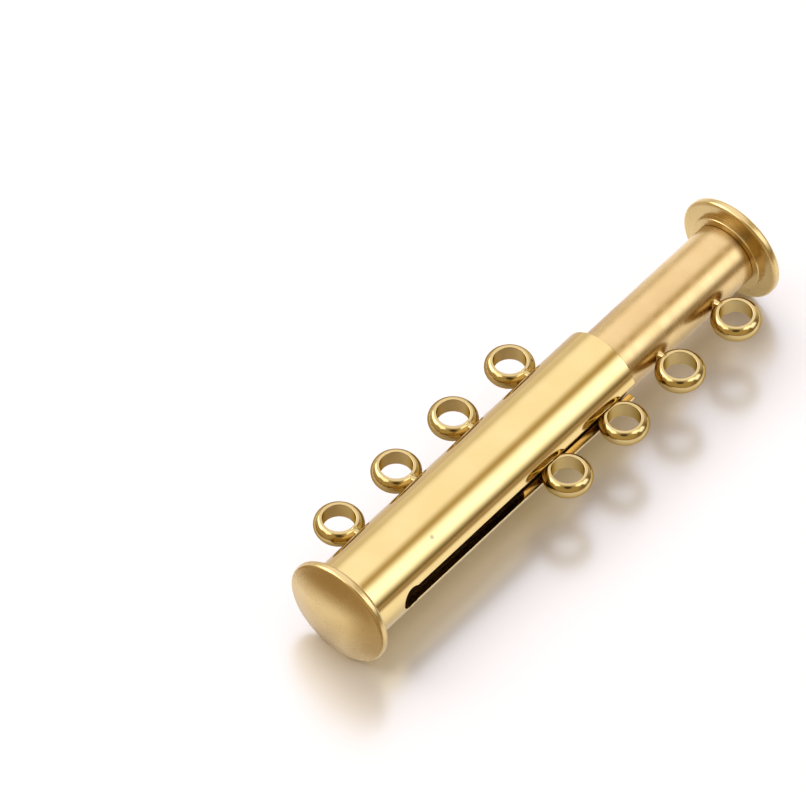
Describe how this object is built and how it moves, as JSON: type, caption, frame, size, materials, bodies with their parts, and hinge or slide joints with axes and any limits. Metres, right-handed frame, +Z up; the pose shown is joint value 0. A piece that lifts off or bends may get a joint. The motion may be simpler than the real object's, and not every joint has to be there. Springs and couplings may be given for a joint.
{
  "type": "four-strand magnetic slide clasp",
  "caption": "Tube clasp for a multi-strand bracelet or necklace: a ringed inner tube slides in a slotted, ringed sleeve with domed end caps.",
  "frame": {"origin": "on the surface that the end caps rest on, under the middle of the outline of the clasp as it lies drawn open", "axes": "+X along the tubes from the sleeve's cap to the inner tube's cap, +Y towards the sleeve's rings, +Z up along the ring holes"},
  "size_m": [0.0354, 0.0102, 0.0065],
  "materials": {
    "polished_gold": "mirror polish, gold plated",
    "satin_gold": "fine satin, gold plated",
    "cap_gold": "soft satin dome, polished rim",
    "magnet": "nickel plated"
  },
  "bodies": {
    "sleeve_half": {"sleeve": "polished_gold", "sleeve_end_cap": "cap_gold", "sleeve_magnet": "magnet"},
    "inner_half": {"inner_tube": "satin_gold", "inner_end_cap": "cap_gold", "inner_magnet": "magnet"}
  },
  "joints": [
    {"name": "slide", "type": "slide", "parent": "sleeve_half", "child": "inner_half", "axis": [1, 0, 0], "range_m": [-0.0107, 0.0095]}
  ]
}
